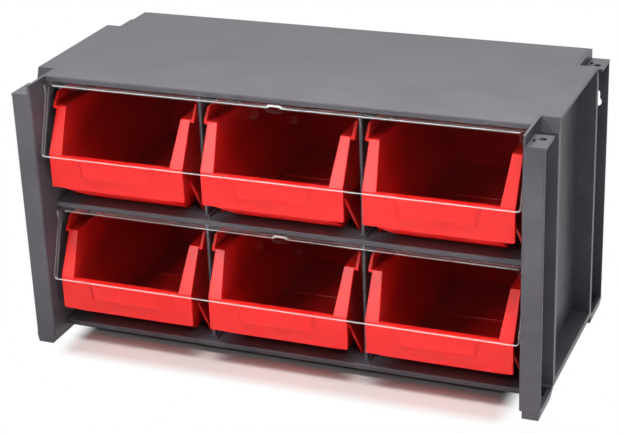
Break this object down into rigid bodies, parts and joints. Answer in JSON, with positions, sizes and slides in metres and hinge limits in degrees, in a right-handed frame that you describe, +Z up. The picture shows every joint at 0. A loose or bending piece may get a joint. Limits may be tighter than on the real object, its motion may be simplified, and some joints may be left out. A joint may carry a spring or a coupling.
{
  "type": "wall bin cabinet",
  "caption": "Dark plastic bin cabinet: rows of red pull-out hopper bins behind clear lift-up flaps, with stacking posts and keyholes for hanging it on a wall.",
  "frame": {"origin": "middle of the cabinet's footprint, at the underside of the feet", "axes": "+X across to the right, +Y from the open front to the wall, +Z up"},
  "size_m": [0.39, 0.188, 0.206],
  "materials": {
    "cabinet_plastic": "fine-grained satin, moulded",
    "bin_plastic": "smooth moulded, soft gloss",
    "clear_plastic": "clear, polished"
  },
  "bodies": {
    "cabinet": {"left_side_panel": "cabinet_plastic", "right_side_panel": "cabinet_plastic", "top_panel": "cabinet_plastic", "middle_shelf": "cabinet_plastic", "bottom_panel": "cabinet_plastic", "back_panel": "cabinet_plastic", "lower_left_divider": "cabinet_plastic", "lower_right_divider": "cabinet_plastic", "upper_left_divider": "cabinet_plastic", "upper_right_divider": "cabinet_plastic"},
    "lower_flap": {"lower_flap": "clear_plastic"},
    "upper_flap": {"upper_flap": "clear_plastic"},
    "lower_left_bin": {"lower_left_bin": "bin_plastic"},
    "lower_middle_bin": {"lower_middle_bin": "bin_plastic"},
    "lower_right_bin": {"lower_right_bin": "bin_plastic"},
    "upper_left_bin": {"upper_left_bin": "bin_plastic"},
    "upper_middle_bin": {"upper_middle_bin": "bin_plastic"},
    "upper_right_bin": {"upper_right_bin": "bin_plastic"}
  },
  "joints": [
    {"name": "lower_middle_bin_slide", "type": "slide", "parent": "cabinet", "child": "lower_middle_bin", "axis": [0, -1, 0], "range_m": [0, 0.027]},
    {"name": "lower_left_bin_slide", "type": "slide", "parent": "cabinet", "child": "lower_left_bin", "axis": [0, -1, 0], "range_m": [0, 0.028]},
    {"name": "lower_right_bin_slide", "type": "slide", "parent": "cabinet", "child": "lower_right_bin", "axis": [0, -1, 0], "range_m": [0, 0.028]},
    {"name": "lower_flap_hinge", "type": "hinge", "parent": "cabinet", "child": "lower_flap", "pos_m": [0, -0.0728, 0.1012], "axis": [-1, 0, 0], "range_deg": [0, 92]},
    {"name": "upper_middle_bin_slide", "type": "slide", "parent": "cabinet", "child": "upper_middle_bin", "axis": [0, -1, 0], "range_m": [0, 0.03]},
    {"name": "upper_left_bin_slide", "type": "slide", "parent": "cabinet", "child": "upper_left_bin", "axis": [0, -1, 0], "range_m": [0, 0.031]},
    {"name": "upper_right_bin_slide", "type": "slide", "parent": "cabinet", "child": "upper_right_bin", "axis": [0, -1, 0], "range_m": [0, 0.031]},
    {"name": "upper_flap_hinge", "type": "hinge", "parent": "cabinet", "child": "upper_flap", "pos_m": [0, -0.0728, 0.1992], "axis": [-1, 0, 0], "range_deg": [0, 132]}
  ],
  "couplings": [
    {"joint": "lower_left_bin_slide", "follows": "lower_middle_bin_slide", "ratio": 1},
    {"joint": "lower_right_bin_slide", "follows": "lower_middle_bin_slide", "ratio": 1},
    {"joint": "lower_flap_hinge", "follows": "lower_middle_bin_slide", "rad_per_m": 58},
    {"joint": "upper_left_bin_slide", "follows": "upper_middle_bin_slide", "ratio": 1},
    {"joint": "upper_right_bin_slide", "follows": "upper_middle_bin_slide", "ratio": 1},
    {"joint": "upper_flap_hinge", "follows": "upper_middle_bin_slide", "rad_per_m": 75.6}
  ]
}
